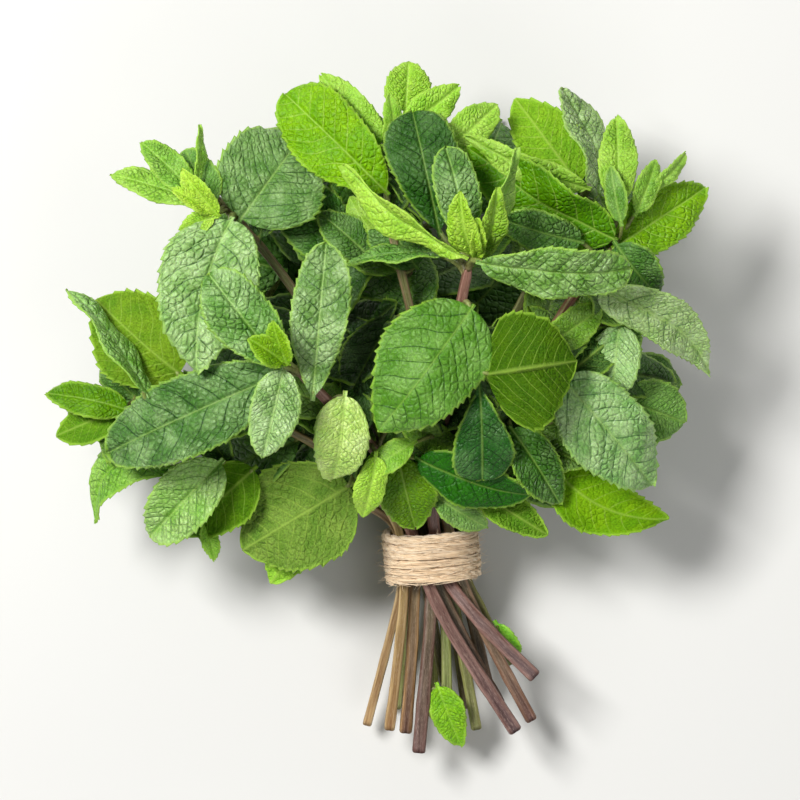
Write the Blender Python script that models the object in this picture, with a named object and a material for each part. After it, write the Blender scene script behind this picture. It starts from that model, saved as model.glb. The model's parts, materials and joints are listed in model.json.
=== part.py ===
"""A tied bunch of fresh mint, lying on a flat surface.

Sixteen square stems run through a twine tie and fan out into a mound of leaves.
X is across the bunch, +Y runs from the cut stem ends to the growing tips, Z is up.
Every place below is in millimetres from a point on the surface near the middle, and
ORIGIN moves the whole bunch so that it ends up centred over the origin.
"""
import itertools
import math
from typing import NamedTuple

import bmesh
import bpy
import numpy as np
from mathutils import Matrix, Vector
from mathutils.bvhtree import BVHTree

MM = 0.001

# Driving dimensions, in millimetres.
ORIGIN = Vector((1.7, 0.5, 0.0))
LEAF_THICKNESS = 0.9
LEAF_GAP = 0.6
LEAF_ROWS = 9
LEAF_COLUMNS = 4
PETIOLE_LENGTH = 4.0
PETIOLE_HALF_WIDTH = 0.9
TIP_HALF_WIDTH = 0.7
BASE_POWER = 0.5
TIP_POWER = 0.7
LIFT_STEP = 0.5
MOST_LIFT = 30.0
STEM_RINGS = 16
STEM_TAPER = 0.62
STEM_CORNER = 1.085
STEM_GAP = 1.0
FLOOR_GAP = 0.1
ROUTE_POINTS = 72
EASE_ROUNDS = 200
EASE_SHARE = 0.15
EASE_SMOOTHING = 0.08
TIE_CENTRE = Vector((16.0, -43.0, 22.0))
TIE_AXIS = Vector((-0.1, 1.0, 0.3)).normalized()
TIE_HALF_LENGTH = 10.3
TIE_LEAN = 0.1
RING_RADII = {"outer": 9.4, "inner": 4.7, "middle": 0.0}
TIE_REACH = 13.4
TWINE_DIAMETER = 2.5
TWINE_GAP = 0.4
TWINE_TURNS = 6
TWINE_PITCH = 2.6
TWINE_SKEW = 3.0
TWINE_STEPS = 20

LEAF_GREEN = (0.10, 0.27, 0.06, 1.0)
STEM_PURPLE = (0.16, 0.08, 0.07, 1.0)
TWINE_TAN = (0.66, 0.48, 0.29, 1.0)


class Stem(NamedTuple):
    """One stem: where it crosses the tie, its cut end, and the points it rises through."""

    name: str
    ring: str
    angle: float
    radius: float
    cut_end: tuple
    route: tuple


class Leaf(NamedTuple):
    """One leaf: its midrib runs from base to tip, and its blade is width across.

    roll turns the blade about the midrib, and at 0 it faces up. arch raises the middle of
    the midrib off the straight line, sweep bends it to its right, and fold lifts the edges.
    """

    name: str
    base: tuple
    tip: tuple
    width: float
    roll: float = 0.0
    arch: float = 3.0
    sweep: float = 0.0
    fold: float = 0.1


STEMS = (
    Stem("stem_01", "outer", 76, 2.3, (48, -81, 32), ((19, -8, 50), (24, 32, 74), (27, 45, 82))),
    Stem("stem_02", "outer", 118, 2.3, (42, -98, 26), ((2, -14, 52), (-14, 2, 71), (-25, 14, 82))),
    Stem("stem_03", "inner", 98, 2.0, (37, -90, 19), ((-2, -5, 42), (-33, 48, 63), (-50, 66, 71))),
    Stem("stem_04", "outer", 46, 2.0, (47, -95, 16), ((18, -10, 39), (12, 20, 54), (2, 61, 70))),
    Stem("stem_05", "middle", 0, 2.2, (12, -105, 20), ((12, 0, 36), (8, 50, 46), (8, 92, 52))),
    Stem("stem_06", "outer", 10, 1.9, (40, -78, 13), ((40, 0, 44), (56, 33, 62), (71, 50, 62))),
    Stem("stem_07", "inner", 18, 1.8, (30, -98, 14), ((36, 20, 38), (58, 60, 48), (63, 68, 50))),
    Stem("stem_08", "outer", 334, 1.9, (34, -86, 6), ((42, -16, 38), (58, 8, 54), (69, 31, 61))),
    Stem("stem_09", "outer", 298, 1.8, (27, -92, 2.4), ((38, -27, 26), (51, -14, 36))),
    Stem("stem_10", "outer", 154, 1.7, (3, -98, 16), ((-15, -12, 40), (-58, 5, 50), (-76, 3, 47))),
    Stem("stem_11", "outer", 190, 1.5, (-4, -97, 8), ((-20, -24, 34), (-48, -16, 44))),
    Stem("stem_12", "inner", 162, 2.0, (8, -99, 13), ((-5, 5, 30), (-26, 55, 39), (-34, 78, 39))),
    Stem("stem_13", "outer", 226, 1.8, (5, -92, 2.4), ((-18, 5, 14), (-45, 45, 14))),
    Stem("stem_14", "outer", 262, 1.8, (17, -95, 2.4), ((9, 10, 8), (0, 80, 14))),
    Stem("stem_15", "inner", 234, 1.8, (24, -101, 8), ((26, 0, 13), (50, 42, 13))),
    Stem("stem_16", "inner", 306, 1.8, (21, -96, 15), ((46, -6, 25), (76, 15, 31))),
)

# Laid in this order, from the surface up: each leaf clears those before it.
LEAVES = (
    Leaf("leaf_under_1", (-6, -20, 0.45), (8, 28, 0.45), 28, arch=0, fold=0),
    Leaf("leaf_under_2", (-22, 32, 0.45), (-54, 62, 0.45), 26, arch=0, fold=0),
    Leaf("leaf_under_3", (26, 30, 0.45), (56, 60, 0.45), 26, arch=0, fold=0),
    Leaf("leaf_skirt_1", (-46, 2, 20), (-88, -6, 2), 28, arch=7),
    Leaf("leaf_skirt_2", (-30, 44, 20), (-62, 52, 2), 28, arch=7),
    Leaf("leaf_skirt_3", (-12, 62, 19), (-22, 90, 2), 26, arch=7),
    Leaf("leaf_skirt_4", (26, 62, 19), (38, 90, 2), 26, arch=7),
    Leaf("leaf_skirt_5", (56, 38, 20), (82, 50, 2), 26, arch=7),
    Leaf("leaf_skirt_6", (52, 4, 20), (84, -8, 2), 28, arch=7),
    Leaf("leaf_collar_1", (50, -13, 44), (88, -32, 36), 19, roll=180, arch=-3, sweep=-6),
    Leaf("leaf_collar_2", (-38, -17, 44), (-60, -37, 34), 20, roll=180, arch=-2),
    Leaf("leaf_left_1", (-77, 1, 49), (-98, -7, 42), 14, roll=190, arch=-2),
    Leaf("leaf_right_1", (74, 4, 50), (93, -3, 44), 20),
    Leaf("leaf_back_1", (8, 91, 54), (9, 106, 52), 14, arch=2, fold=0.2),
    Leaf("leaf_back_2", (60, 69, 54), (41, 95, 49), 20, roll=180, arch=-3),
    Leaf("leaf_back_3", (66, 64, 52), (55, 98, 50), 16, roll=48, sweep=3),
    Leaf("leaf_collar_3", (6, -14, 50), (11, -35, 39), 18, roll=5, arch=3),
    Leaf("leaf_collar_4", (-9, -22, 46), (-42, -42, 36), 34, roll=180, arch=-5, fold=0.15),
    Leaf("leaf_left_2", (-64, -16, 50), (-88, -34, 36), 16, roll=25, arch=4, sweep=9),
    Leaf("leaf_left_3", (-48, -15, 50), (-70, -38, 38), 19, arch=3, fold=0.5),
    Leaf("leaf_left_4", (-60, 12, 57), (-85, 34, 50), 30, roll=172, arch=-4),
    Leaf("leaf_left_5", (-69, 6, 58), (-94, 37, 50), 16, roll=66, arch=2),
    Leaf("leaf_collar_5", (12, -14, 54), (46, -25, 46), 17, roll=28, arch=4),
    Leaf("leaf_right_2", (72, 26, 63), (70, 4, 58), 16, roll=8),
    Leaf("leaf_right_3", (55, 10, 68), (82.5, -22, 50), 26, roll=-5, arch=4),
    Leaf("leaf_right_4", (71, 50, 65), (98, 68, 52), 19, roll=10, arch=2, fold=0.15),
    Leaf("leaf_back_4", (-41, 58, 68), (-23, 83, 57), 34, arch=4, fold=0.12),
    Leaf("leaf_back_5", (2, 66, 72), (-28, 95.5, 62), 23, arch=4),
    Leaf("leaf_back_6", (18, 54, 73), (10, 90, 67), 22, arch=3),
    Leaf("leaf_back_7", (70, 52, 68), (25, 79, 71), 22, roll=-35, arch=4),
    Leaf("leaf_right_5", (66, 36, 71), (100, 12, 47), 16, roll=15, arch=5, sweep=-6),
    Leaf("leaf_collar_6", (30, 8, 65), (31, -20, 55), 19, roll=-5),
    Leaf("leaf_collar_7", (-10, 5, 66), (-14, -20, 55), 17, roll=-10, arch=4),
    Leaf("leaf_right_6", (32, 11.5, 70), (59, 15.5, 71), 36, roll=180, arch=-7, fold=0.2),
    Leaf("leaf_left_6", (-30, 11, 73), (-82, -12, 54), 25, roll=5, arch=6),
    Leaf("leaf_left_7", (-44, 57, 71), (-54, 12, 71), 30, arch=5, sweep=3),
    Leaf("leaf_crown_1", (-19.5, 5, 75), (-15.5, 50, 81), 17.5, arch=2, fold=0.15),
    Leaf("leaf_crown_2", (27.5, 31, 77), (-0.5, -6, 74), 32, roll=-6, arch=4, fold=-0.1),
    Leaf("leaf_crown_3", (26, 48, 82), (20, 79, 78), 14, roll=12, fold=0.15),
    Leaf("leaf_crown_4", (-28, 12.5, 82), (-34, -13, 78), 15, arch=2, fold=0.25),
    Leaf("leaf_crown_5", (-29, 14.5, 82), (-50, 41, 80), 19, fold=0.2),
    Leaf("leaf_crown_6", (25, 46, 82), (-11, 73, 81), 14, roll=-58, fold=0.4),
    Leaf("leaf_crown_7", (30, 44, 82), (74, 43, 78), 18, roll=34, arch=5),
)


def clear_scene():
    for obj in list(bpy.data.objects):
        bpy.data.objects.remove(obj)


def material(name, colour, roughness):
    made = bpy.data.materials.new(name)
    made.use_nodes = True
    shader = made.node_tree.nodes["Principled BSDF"]
    shader.inputs["Base Color"].default_value = colour
    shader.inputs["Roughness"].default_value = roughness
    return made


def add_object(name, data, finish):
    obj = bpy.data.objects.new(name, data)
    data.materials.append(finish)
    obj.location = -ORIGIN * MM
    bpy.context.scene.collection.objects.link(obj)
    return obj


def evenly_spaced(curve, count):
    """count points at even steps along a finely drawn curve."""
    steps = np.linalg.norm(np.diff(curve, axis=0), axis=1)
    along = np.concatenate([[0], np.cumsum(steps)])
    wanted = np.linspace(0, along[-1], count)
    return np.stack([np.interp(wanted, along, curve[:, axis]) for axis in range(3)], axis=1)


def smooth_through(points, count):
    """count evenly spaced points along a cubic curve through points."""
    points = np.array(points)
    gaps = np.linalg.norm(np.diff(points, axis=0), axis=1)
    knots = np.concatenate([[0], np.cumsum(gaps)])
    slopes = np.gradient(points, knots, axis=0)
    fine = np.linspace(0, knots[-1], 400)
    at = np.clip(np.searchsorted(knots, fine, side="right") - 1, 0, len(gaps) - 1)
    size = gaps[at][:, None]
    t = (fine[:, None] - knots[at][:, None]) / size
    curve = points[at] * (2 * t**3 - 3 * t**2 + 1) + points[at + 1] * (3 * t**2 - 2 * t**3)
    curve += slopes[at] * size * (t**3 - 2 * t**2 + t) + slopes[at + 1] * size * (t**3 - t**2)
    return evenly_spaced(curve, count)


def tie_frame():
    """The tie's sideways and upward directions, square to its axis."""
    across = TIE_AXIS.cross(Vector((0, 0, 1))).normalized()
    return across, across.cross(TIE_AXIS)


def stem_route(stem):
    """The stem's planned route, from its cut end through the tie and up to its tip."""
    across, up = tie_frame()
    angle = math.radians(stem.angle)
    reach = RING_RADII[stem.ring]
    crossing = TIE_CENTRE + (across * math.cos(angle) + up * math.sin(angle)) * reach
    fan = Vector(stem.cut_end) - crossing
    lean = (fan - TIE_AXIS * fan.dot(TIE_AXIS)) * TIE_LEAN
    middle = crossing + TIE_AXIS * (TWINE_SKEW * math.sin(angle) * reach / TIE_REACH)
    low = middle - TIE_AXIS * TIE_HALF_LENGTH + lean
    high = middle + TIE_AXIS * TIE_HALF_LENGTH - lean
    points = [Vector(stem.cut_end), low, high, *map(Vector, stem.route)]
    return smooth_through(points, ROUTE_POINTS)


def stem_radii(stem, count):
    return np.linspace(stem.radius, stem.radius * STEM_TAPER, count)


def hold_in_tie(route, radius):
    """Draws in the part of a route that passes through the tie, until it fits inside the twine."""
    offset = route - np.array(TIE_CENTRE)
    along = offset @ np.array(TIE_AXIS)
    outward = offset - along[:, None] * np.array(TIE_AXIS)
    reach = np.linalg.norm(outward, axis=1)
    room = TIE_REACH - TWINE_DIAMETER / 2 - TWINE_GAP - radius
    scale = np.minimum(1, room / reach)
    along -= TWINE_SKEW * (outward @ np.array(tie_frame()[1])) / reach
    scale[np.abs(along) > TIE_HALF_LENGTH] = 1
    route += outward * (scale - 1)[:, None]


def eased_routes():
    """The stems' routes, moved off one another by half of each overlap at a time."""
    routes = [stem_route(stem) for stem in STEMS]
    radii = [stem_radii(stem, ROUTE_POINTS) * STEM_CORNER for stem in STEMS]
    for _ in range(EASE_ROUNDS):
        for a, b in itertools.combinations(range(len(STEMS)), 2):
            apart = routes[a][:, None] - routes[b][None]
            distance = np.linalg.norm(apart, axis=2)
            short = radii[a][:, None] + radii[b][None] + STEM_GAP - distance
            for row, column in zip(*np.nonzero(short > 0)):
                push = apart[row, column] / distance[row, column] * short[row, column] * EASE_SHARE
                routes[a][row] += push
                routes[b][column] -= push
        for route, radius in zip(routes, radii):
            route[1:-1] += EASE_SMOOTHING * (route[:-2] + route[2:] - 2 * route[1:-1])
            route[:, 2] = np.maximum(route[:, 2], radius + FLOOR_GAP)
            hold_in_tie(route, radius)
    return routes


def square_section():
    """A square with cut-off corners, one unit to each side, which the stems are swept from."""
    curve = bpy.data.curves.new("stem_section", "CURVE")
    curve.dimensions = "2D"
    spline = curve.splines.new("POLY")
    spline.points.add(7)
    corner = 0.42
    outline = [(1, corner), (corner, 1), (-corner, 1), (-1, corner)]
    outline += [(-x, -y) for x, y in outline]
    outline.reverse()
    for point, (x, y) in zip(spline.points, outline):
        point.co = (x * MM, y * MM, 0, 1)
    spline.use_cyclic_u = True
    guide = bpy.data.objects.new("stem_section", curve)
    guide.hide_render = True
    guide.display_type = "WIRE"
    bpy.context.scene.collection.objects.link(guide)
    return guide


def swept_curve(name, path, radii, finish):
    """A closed tube along path, whose section is set by the caller."""
    curve = bpy.data.curves.new(name, "CURVE")
    curve.dimensions = "3D"
    curve.use_fill_caps = True
    spline = curve.splines.new("POLY")
    spline.points.add(len(path) - 1)
    for point, place, radius in zip(spline.points, path, radii):
        point.co = (*(place * MM), 1)
        point.radius = radius
    return add_object(name, curve, finish)


def make_stem(stem, route, section, finish):
    path = evenly_spaced(route, STEM_RINGS)
    made = swept_curve(stem.name, path, stem_radii(stem, STEM_RINGS), finish)
    made.data.bevel_mode = "OBJECT"
    made.data.bevel_object = section
    return made


def make_tie(finish):
    """The twine, wound in one helix round the stems, with its upper side slipped forward."""
    across, up = tie_frame()
    reach = TIE_REACH
    path = []
    for step in range(TWINE_TURNS * TWINE_STEPS + 1):
        angle = math.tau * step / TWINE_STEPS
        along = TWINE_PITCH * (step / TWINE_STEPS - TWINE_TURNS / 2)
        along += TWINE_SKEW * math.sin(angle)
        ring = (across * math.cos(angle) + up * math.sin(angle)) * reach
        path.append(np.array(TIE_CENTRE + TIE_AXIS * along + ring))
    made = swept_curve("twine_tie", path, [1.0] * len(path), finish)
    made.data.bevel_depth = TWINE_DIAMETER / 2 * MM
    made.data.bevel_resolution = 1
    return made


def leaf_frame(leaf):
    """The leaf's length, and its directions along, to its right and out of its upper side."""
    chord = Vector(leaf.tip) - Vector(leaf.base)
    along = chord.normalized()
    face = Vector((0, 0, 1)) - along * along.z
    face = Matrix.Rotation(math.radians(leaf.roll), 3, along) @ face.normalized()
    return chord.length, along, along.cross(face), face


def blade_half_width(leaf, share):
    """Half the blade's width at a share of its length: ovate, widest at about two fifths."""
    peak = BASE_POWER / (BASE_POWER + TIP_POWER)
    most = peak**BASE_POWER * (1 - peak) ** TIP_POWER
    shape = share**BASE_POWER * (1 - share) ** TIP_POWER / most
    least = PETIOLE_HALF_WIDTH + (TIP_HALF_WIDTH - PETIOLE_HALF_WIDTH) * share
    return max(leaf.width / 2 * shape, least)


def leaf_point(leaf, share, across):
    """A point of the leaf's middle surface, at a share of its length and -1 to 1 across it."""
    length, along, right, face = leaf_frame(leaf)
    blade = min(max(share, 0.0), 1.0)
    half = blade_half_width(leaf, blade)
    bow = 4 * share * (1 - share) if share > 0 else 4 * share
    slope = (leaf.arch * 4 * (1 - 2 * blade)) / length
    normal = (face - along * slope).normalized()
    middle = Vector(leaf.base) + along * (length * share)
    middle += face * (leaf.arch * bow) + right * (leaf.sweep * bow)
    return middle + right * (half * across) + normal * (half * abs(across) * leaf.fold)


def make_leaf(leaf, finish):
    """A grid bent to the leaf's middle surface, and thickened by a Solidify modifier."""
    length = leaf_frame(leaf)[0]
    shares = [(1 - math.cos(math.pi * row / LEAF_ROWS)) / 2 for row in range(LEAF_ROWS + 1)]
    shares.insert(0, -PETIOLE_LENGTH / length)
    mesh = bpy.data.meshes.new(leaf.name)
    shape = bmesh.new()
    bmesh.ops.create_grid(
        shape, x_segments=len(shares) - 1, y_segments=LEAF_COLUMNS, size=0.5
    )
    for vert in shape.verts:
        row = round((vert.co.x + 0.5) * (len(shares) - 1))
        vert.co = leaf_point(leaf, shares[row], vert.co.y * 2) * MM
    bmesh.ops.recalc_face_normals(shape, faces=shape.faces)
    shape.to_mesh(mesh)
    shape.free()
    made = add_object(leaf.name, mesh, finish)
    thick = made.modifiers.new("thickness", "SOLIDIFY")
    thick.thickness = LEAF_THICKNESS * MM
    thick.offset = 0
    return made


def surface_of(obj):
    """The points and faces of the object as its modifiers leave it."""
    bpy.context.view_layer.update()
    graph = bpy.context.evaluated_depsgraph_get()
    shaped = obj.evaluated_get(graph)
    mesh = shaped.to_mesh()
    points = [obj.matrix_world @ v.co for v in mesh.vertices]
    faces = [tuple(p.vertices) for p in mesh.polygons]
    shaped.to_mesh_clear()
    return points, faces


def lay_leaf(obj, laid):
    """Raises the leaf by the least that keeps it a gap away from what is already laid."""
    thick = obj.modifiers["thickness"]
    thick.thickness = (LEAF_THICKNESS + 2 * LEAF_GAP) * MM
    points, faces = surface_of(obj)
    thick.thickness = LEAF_THICKNESS * MM
    lift = 0.0
    while lift <= MOST_LIFT:
        shift = Vector((0, 0, lift * MM))
        tree = BVHTree.FromPolygons([p + shift for p in points], faces)
        if not any(tree.overlap(other) for other in laid):
            break
        lift += LIFT_STEP
    obj.location.z += lift * MM


def main():
    clear_scene()
    stem_finish = material("mint_stem", STEM_PURPLE, 0.5)
    leaf_finish = material("mint_leaf", LEAF_GREEN, 0.45)
    twine_finish = material("jute_twine", TWINE_TAN, 0.9)
    section = square_section()
    routes = eased_routes()
    fixed = [make_stem(stem, route, section, stem_finish) for stem, route in zip(STEMS, routes)]
    fixed.append(make_tie(twine_finish))
    laid = [BVHTree.FromPolygons(*surface_of(obj)) for obj in fixed]
    for leaf in LEAVES:
        made = make_leaf(leaf, leaf_finish)
        lay_leaf(made, laid)
        laid.append(BVHTree.FromPolygons(*surface_of(made)))


main()
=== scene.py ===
import json
import math
from typing import NamedTuple

import bpy
import numpy as np
from mathutils import Matrix, Vector

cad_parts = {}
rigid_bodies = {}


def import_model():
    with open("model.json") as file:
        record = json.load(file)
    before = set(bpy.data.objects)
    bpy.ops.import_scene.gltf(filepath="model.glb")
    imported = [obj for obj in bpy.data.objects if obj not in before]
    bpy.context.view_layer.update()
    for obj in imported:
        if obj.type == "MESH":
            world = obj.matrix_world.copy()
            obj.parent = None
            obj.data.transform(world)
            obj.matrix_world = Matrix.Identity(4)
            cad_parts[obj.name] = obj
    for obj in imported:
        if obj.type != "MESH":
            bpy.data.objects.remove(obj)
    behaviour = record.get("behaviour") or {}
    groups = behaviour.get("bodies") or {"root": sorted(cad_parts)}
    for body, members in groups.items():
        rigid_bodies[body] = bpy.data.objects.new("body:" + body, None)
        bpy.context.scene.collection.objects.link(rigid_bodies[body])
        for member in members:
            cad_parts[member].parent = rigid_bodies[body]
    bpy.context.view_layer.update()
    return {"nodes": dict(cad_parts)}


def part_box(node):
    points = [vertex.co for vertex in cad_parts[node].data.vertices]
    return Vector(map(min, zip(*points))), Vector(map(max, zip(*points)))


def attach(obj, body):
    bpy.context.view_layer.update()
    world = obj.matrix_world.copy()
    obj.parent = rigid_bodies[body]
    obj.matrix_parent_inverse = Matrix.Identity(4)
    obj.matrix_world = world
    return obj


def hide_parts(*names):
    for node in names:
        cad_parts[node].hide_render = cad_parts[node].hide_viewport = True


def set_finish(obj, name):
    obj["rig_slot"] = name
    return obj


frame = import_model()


# ---------------------------------------------------------------------------
# The tabletop and the studio: a plain pale sheet that runs out of sight, two large
# softboxes and a weak rim light, and a long lens that looks straight down.


def linear(code):
    """A colour written as an sRGB hex code, as the linear values that a socket takes."""
    parts = [int(code[place:place + 2], 16) / 255 for place in (1, 3, 5)]
    return [*(p / 12.92 if p <= 0.04045 else ((p + 0.055) / 1.055) ** 2.4 for p in parts), 1.0]


def feed(tree, node, inputs):
    """Gives each input its value, or links it to a socket or to a node's first live output."""
    for socket, source in dict(inputs).items():
        if isinstance(source, bpy.types.Node):
            source = next(output for output in source.outputs if output.enabled)
        if isinstance(source, bpy.types.NodeSocket):
            tree.links.new(source, node.inputs[socket])
        else:
            node.inputs[socket].default_value = source


def add_node(tree, kind, inputs=(), **settings):
    """Adds a shader node with its settings and what feeds its inputs, by name or number."""
    node = tree.nodes.new("ShaderNode" + kind)
    for name, value in settings.items():
        setattr(node, name, value)
    feed(tree, node, inputs)
    return node


def finish(name):
    """A new material, with its node tree and its Principled shader."""
    made = bpy.data.materials.new(name)
    made.use_nodes = True
    return made, made.node_tree, made.node_tree.nodes["Principled BSDF"]


TABLETOP_REACH = 12.0
TABLETOP_HEIGHT = -0.0002
GLOW_STARTS = 0.4
GLOW_FULL = 2.0
GLOW_STRENGTH = 0.865
WALL_TONE = "#e4e4e1"

bpy.ops.object.select_all(action="DESELECT")
bpy.ops.mesh.primitive_circle_add(
    vertices=96, radius=TABLETOP_REACH, fill_type="NGON", location=(0, 0, TABLETOP_HEIGHT),
)
tabletop = bpy.context.active_object
tabletop.name = "tabletop"

# Matt painted board: no shine, so shadows fall on it soft and plain. Away from the bunch it
# glows more and more, so that from low down it meets the far wall without an edge.
matt_board, tree, shader = finish("matt_pale_board")
spot = add_node(tree, "VectorMath", {0: add_node(tree, "TexCoord").outputs["Object"]}, operation="LENGTH")
far_glow = add_node(
    tree, "MapRange", {0: spot, 1: GLOW_STARTS, 2: GLOW_FULL, 3: 0.0, 4: GLOW_STRENGTH},
    interpolation_type="SMOOTHSTEP",
)
feed(tree, shader, {
    "Base Color": linear("#dddcd8"), "Roughness": 0.85,
    "Emission Color": linear(WALL_TONE), "Emission Strength": far_glow,
})
tabletop.data.materials.append(matt_board)

studio = bpy.data.worlds.new("studio")
studio.use_nodes = True
tree = studio.node_tree
room_light = tree.nodes["Background"]
feed(tree, room_light, {"Color": linear("#eef1f4"), "Strength": 0.17})
far_wall = add_node(tree, "Background", {"Color": linear(WALL_TONE), "Strength": 1.0})
seen = add_node(tree, "LightPath")
room = add_node(tree, "MixShader", {0: seen.outputs["Is Camera Ray"], 1: room_light, 2: far_wall})
feed(tree, tree.nodes["World Output"], {"Surface": room})
bpy.context.scene.world = studio

SOFTBOXES = (
    ("key_softbox", (-0.54, 0.36, 1.06), 0.38, 18.0),
    ("fill_softbox", (0.5, -0.8, 0.85), 0.8, 4.5),
    ("rim_softbox", (0.4, 0.95, 0.5), 0.5, 2.4),
)
for name, place, size, power in SOFTBOXES:
    bpy.ops.object.light_add(type="AREA", location=place)
    lamp = bpy.context.active_object
    lamp.name = name
    lamp.data.size = size
    lamp.data.energy = power
    lamp.rotation_euler = (-Vector(place)).to_track_quat("-Z", "Y").to_euler()

CAMERA_PLACE = (0.0046, 0.0034, 1.56)
CAMERA_LENS = 225
CAMERA_REACH = 50
bpy.ops.object.camera_add(location=CAMERA_PLACE, rotation=(0, 0, 0))
camera = bpy.context.active_object
camera.data.lens = CAMERA_LENS
camera.data.clip_end = CAMERA_REACH
bpy.context.scene.camera = camera
bpy.context.scene.view_settings.view_transform = "Standard"


# ---------------------------------------------------------------------------
# The stems: square, as all mints have, with a shallow groove down each side and a
# swelling at each joint. They are cut across by a knife, so the pale pith shows.

MM = 0.001


class StemFinish(NamedTuple):
    """The colours of one stem at its cut end, at its tip, and along its four corners."""

    low: str
    high: str
    corner: str


STEM_FINISHES = {
    "stem_01": StemFinish("#50343a", "#8a5a44", "#b48c80"),
    "stem_02": StemFinish("#4a3037", "#8c5e48", "#b08a80"),
    "stem_03": StemFinish("#4e3232", "#7d8a4a", "#8c6e58"),
    "stem_04": StemFinish("#6a423e", "#8c9a55", "#b48c70"),
    "stem_05": StemFinish("#502a2c", "#7f8c4a", "#86605a"),
    "stem_06": StemFinish("#7c8a3c", "#8a4a40", "#a9b45c"),
    "stem_07": StemFinish("#74803c", "#7f8c4a", "#a4ac5c"),
    "stem_08": StemFinish("#543a34", "#8aa04e", "#96785c"),
    "stem_09": StemFinish("#6c5a3c", "#8aa04e", "#98a058"),
    "stem_10": StemFinish("#a88048", "#7f8c4a", "#e4c88c"),
    "stem_11": StemFinish("#b8945c", "#8c7a52", "#ecd49c"),
    "stem_12": StemFinish("#6c4634", "#7f8c4a", "#dcb070"),
    "stem_13": StemFinish("#7c8a44", "#7f8c4a", "#aeb870"),
    "stem_14": StemFinish("#7a8a3c", "#7f8c4a", "#a8b45c"),
    "stem_15": StemFinish("#64602c", "#7f8c4a", "#98a054"),
    "stem_16": StemFinish("#7c9440", "#7f8c4a", "#b0c068"),
}
CAD_SIDES = 8
CAD_CORNER = 1.04
STEM_SIDES = 24
STEM_STEP = 1.6
GROOVE_DEPTH = 0.05
JOINT_SPACING = 27.0
JOINT_START = 6.0
JOINT_SWELL = 0.09
JOINT_LENGTH = 3.2
TIP_TAPER = 5.0
CUT_SLANT = 0.7
CUT_RUN = 8.0


def cad_rings(node):
    """The centre and reach of each ring of a CAD stem, in millimetres, from its cut end."""
    data = frame["nodes"][node].data
    points = {tuple(round(c / MM, 2) for c in v.co) for v in data.vertices}
    points = np.array(sorted(points, key=lambda p: p[1]))
    at = points[:CAD_SIDES // 2].mean(axis=0)
    rings = []
    while len(points):
        order = np.argsort(np.linalg.norm(points - at, axis=1))
        seed = points[order[0]]
        near = np.argsort(np.linalg.norm(points - seed, axis=1))[:CAD_SIDES]
        ring = points[near]
        at = ring.mean(axis=0)
        rings.append((*at, np.linalg.norm(ring - at, axis=1).mean()))
        points = np.delete(points, near, axis=0)
    return np.array(rings)


def smooth_route(rings, step):
    """Evenly spaced points and reaches on a smooth curve through the rings."""
    gaps = np.linalg.norm(np.diff(rings[:, :3], axis=0), axis=1)
    knots = np.concatenate([[0], np.cumsum(gaps)])
    slopes = np.gradient(rings, knots, axis=0)
    fine = np.linspace(0, knots[-1], max(3, int(knots[-1] / step)))
    at = np.clip(np.searchsorted(knots, fine, side="right") - 1, 0, len(gaps) - 1)
    size = gaps[at][:, None]
    t = (fine - knots[at])[:, None] / size
    route = rings[at] * (2 * t**3 - 3 * t**2 + 1) + rings[at + 1] * (3 * t**2 - 2 * t**3)
    return route + size * (slopes[at] * (t**3 - 2 * t**2 + t) + slopes[at + 1] * (t**3 - t**2))


def route_frames(path):
    """Directions along and across a path, carried down it without twisting."""
    along = np.gradient(path, axis=0)
    along /= np.linalg.norm(along, axis=1)[:, None]
    start = np.cross(along[0], (0.0, 0.0, 1.0))
    sides = [start / np.linalg.norm(start)]
    for direction in along[1:]:
        side = sides[-1] - direction * (sides[-1] @ direction)
        sides.append(side / np.linalg.norm(side))
    sides = np.array(sides)
    return along, sides, np.cross(along, sides)


def sweep(path, outline):
    """A closed tube: outline holds each ring's reaches sideways and upwards, in millimetres."""
    _, side, up = route_frames(path)
    rings = path[:, None] + side[:, None] * outline[..., :1] + up[:, None] * outline[..., 1:]
    count, around = rings.shape[:2]
    points = np.concatenate([rings.reshape(-1, 3), path[:1], path[-1:]])
    faces = []
    for ring in range(count - 1):
        for step in range(around):
            a = ring * around + step
            b = ring * around + (step + 1) % around
            faces.append((a, b, b + around, a + around))
    last = (count - 1) * around
    for step in range(around):
        after = (step + 1) % around
        faces.append((after, step, len(points) - 2))
        faces.append((last + step, last + after, len(points) - 1))
    return points, faces


def closed_piece(name, shells, slot, *finishes):
    """One smooth piece from closed shells of millimetre points and faces."""
    points = np.concatenate([shell[0] for shell in shells])
    starts = np.cumsum([0, *(len(shell[0]) for shell in shells)])
    faces = [
        tuple(i + start for i in face) for shell, start in zip(shells, starts) for face in shell[1]
    ]
    data = bpy.data.meshes.new(name)
    data.from_pydata((points * MM).tolist(), [], faces)
    data.shade_smooth()
    for made in finishes:
        data.materials.append(made)
    piece = bpy.data.objects.new(name, data)
    bpy.context.scene.collection.objects.link(piece)
    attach(piece, "root")
    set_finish(piece, slot)
    return piece


def write_attribute(data, name, kind, values):
    """Stores one value a point on a mesh, for its material to read."""
    field = {"FLOAT_VECTOR": "vector", "FLOAT_COLOR": "color"}[kind]
    layer = data.attributes.new(name, kind, "POINT")
    layer.data.foreach_set(field, np.asarray(values, dtype=np.float32).ravel())


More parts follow.
